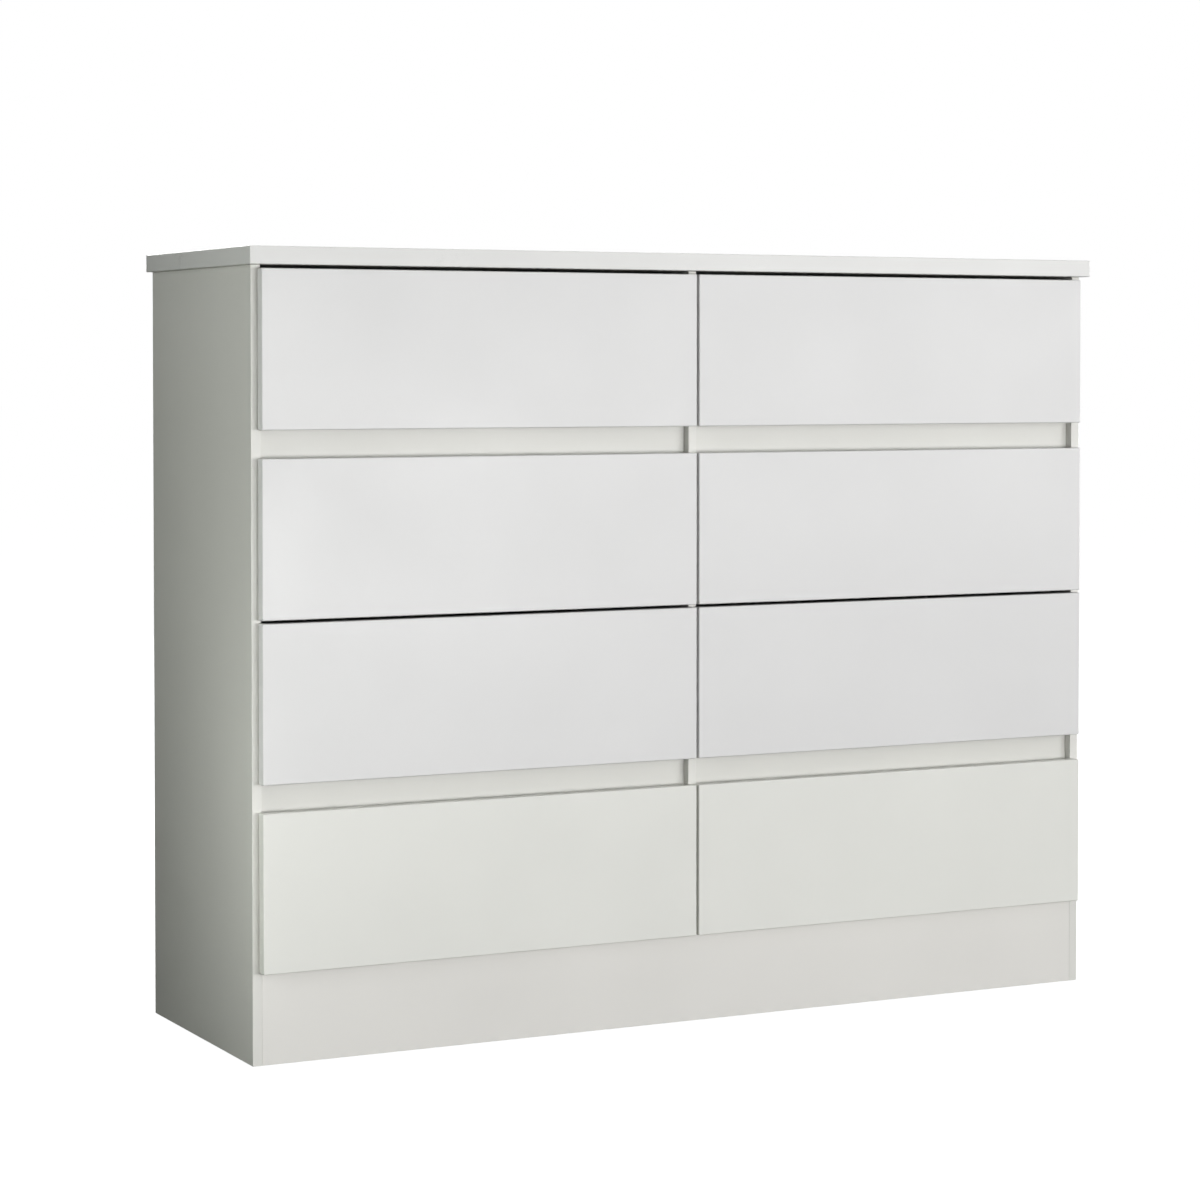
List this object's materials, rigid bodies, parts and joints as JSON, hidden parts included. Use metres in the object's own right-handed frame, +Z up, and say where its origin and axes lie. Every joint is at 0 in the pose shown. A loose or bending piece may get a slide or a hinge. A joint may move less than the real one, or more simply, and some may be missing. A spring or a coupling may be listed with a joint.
{
  "type": "dresser with drawers",
  "caption": "White free-standing dresser: four rows of handleless drawers in two columns, opened by recessed finger gaps, on a flush plinth.",
  "frame": {"origin": "on the floor, under the centre of the dresser's overall box", "axes": "+Z up; the drawer fronts face -Y and +X is to the right seen from the front"},
  "size_m": [1.213, 0.38, 0.985],
  "materials": {
    "white_laminate": "white melamine-faced board with a fine linen emboss, satin, matching plastic edge band",
    "front_laminate": "white laminated drawer front, softened edges, fine linen emboss, satin",
    "drawer_foil": "white foil-wrapped folded board, matt",
    "white_hardboard": "thin hardboard, painted white on its inner face",
    "runner_plastic": "white moulded plastic",
    "screw_steel": "zinc-plated steel screws, cams and nails"
  },
  "bodies": {
    "carcass": {"top_panel": "white_laminate", "side_panel_left": "white_laminate", "side_panel_right": "white_laminate", "centre_divider": "white_laminate", "bottom_panel": "white_laminate", "plinth_front": "white_laminate", "plinth_rear": "white_laminate", "plinth_brace": "white_laminate", "back_panel_left": "white_hardboard", "back_panel_right": "white_hardboard", "grip_rail_upper_left": "white_laminate", "grip_rail_upper_right": "white_laminate", "grip_rail_lower_left": "white_laminate", "grip_rail_lower_right": "white_laminate", "rear_rail_left": "white_laminate", "rear_rail_right": "white_laminate", "runner_1_left_outer": "runner_plastic", "runner_1_left_inner": "runner_plastic", "runner_1_right_outer": "runner_plastic", "runner_1_right_inner": "runner_plastic", "runner_2_left_outer": "runner_plastic", "runner_2_left_inner": "runner_plastic", "runner_2_right_outer": "runner_plastic", "runner_2_right_inner": "runner_plastic", "runner_3_left_outer": "runner_plastic", "runner_3_left_inner": "runner_plastic", "runner_3_right_outer": "runner_plastic", "runner_3_right_inner": "runner_plastic", "runner_4_left_outer": "runner_plastic", "runner_4_left_inner": "runner_plastic", "runner_4_right_outer": "runner_plastic", "runner_4_right_inner": "runner_plastic"},
    "drawer_1_left": {"drawer_front_1_left": "front_laminate", "drawer_box_1_left": "drawer_foil", "drawer_bottom_1_left": "white_hardboard"},
    "drawer_1_right": {"drawer_front_1_right": "front_laminate", "drawer_box_1_right": "drawer_foil", "drawer_bottom_1_right": "white_hardboard"},
    "drawer_2_left": {"drawer_front_2_left": "front_laminate", "drawer_box_2_left": "drawer_foil", "drawer_bottom_2_left": "white_hardboard"},
    "drawer_2_right": {"drawer_front_2_right": "front_laminate", "drawer_box_2_right": "drawer_foil", "drawer_bottom_2_right": "white_hardboard"},
    "drawer_3_left": {"drawer_front_3_left": "front_laminate", "drawer_box_3_left": "drawer_foil", "drawer_bottom_3_left": "white_hardboard"},
    "drawer_3_right": {"drawer_front_3_right": "front_laminate", "drawer_box_3_right": "drawer_foil", "drawer_bottom_3_right": "white_hardboard"},
    "drawer_4_left": {"drawer_front_4_left": "front_laminate", "drawer_box_4_left": "drawer_foil", "drawer_bottom_4_left": "white_hardboard"},
    "drawer_4_right": {"drawer_front_4_right": "front_laminate", "drawer_box_4_right": "drawer_foil", "drawer_bottom_4_right": "white_hardboard"}
  },
  "joints": [
    {"name": "drawer_1_left_slide", "type": "slide", "parent": "carcass", "child": "drawer_1_left", "axis": [0, -1, 0], "range_m": [0, 0.24]},
    {"name": "drawer_1_right_slide", "type": "slide", "parent": "carcass", "child": "drawer_1_right", "axis": [0, -1, 0], "range_m": [0, 0.24]},
    {"name": "drawer_2_left_slide", "type": "slide", "parent": "carcass", "child": "drawer_2_left", "axis": [0, -1, 0], "range_m": [0, 0.24]},
    {"name": "drawer_2_right_slide", "type": "slide", "parent": "carcass", "child": "drawer_2_right", "axis": [0, -1, 0], "range_m": [0, 0.24]},
    {"name": "drawer_3_left_slide", "type": "slide", "parent": "carcass", "child": "drawer_3_left", "axis": [0, -1, 0], "range_m": [0, 0.24]},
    {"name": "drawer_3_right_slide", "type": "slide", "parent": "carcass", "child": "drawer_3_right", "axis": [0, -1, 0], "range_m": [0, 0.24]},
    {"name": "drawer_4_left_slide", "type": "slide", "parent": "carcass", "child": "drawer_4_left", "axis": [0, -1, 0], "range_m": [0, 0.24]},
    {"name": "drawer_4_right_slide", "type": "slide", "parent": "carcass", "child": "drawer_4_right", "axis": [0, -1, 0], "range_m": [0, 0.24]}
  ]
}
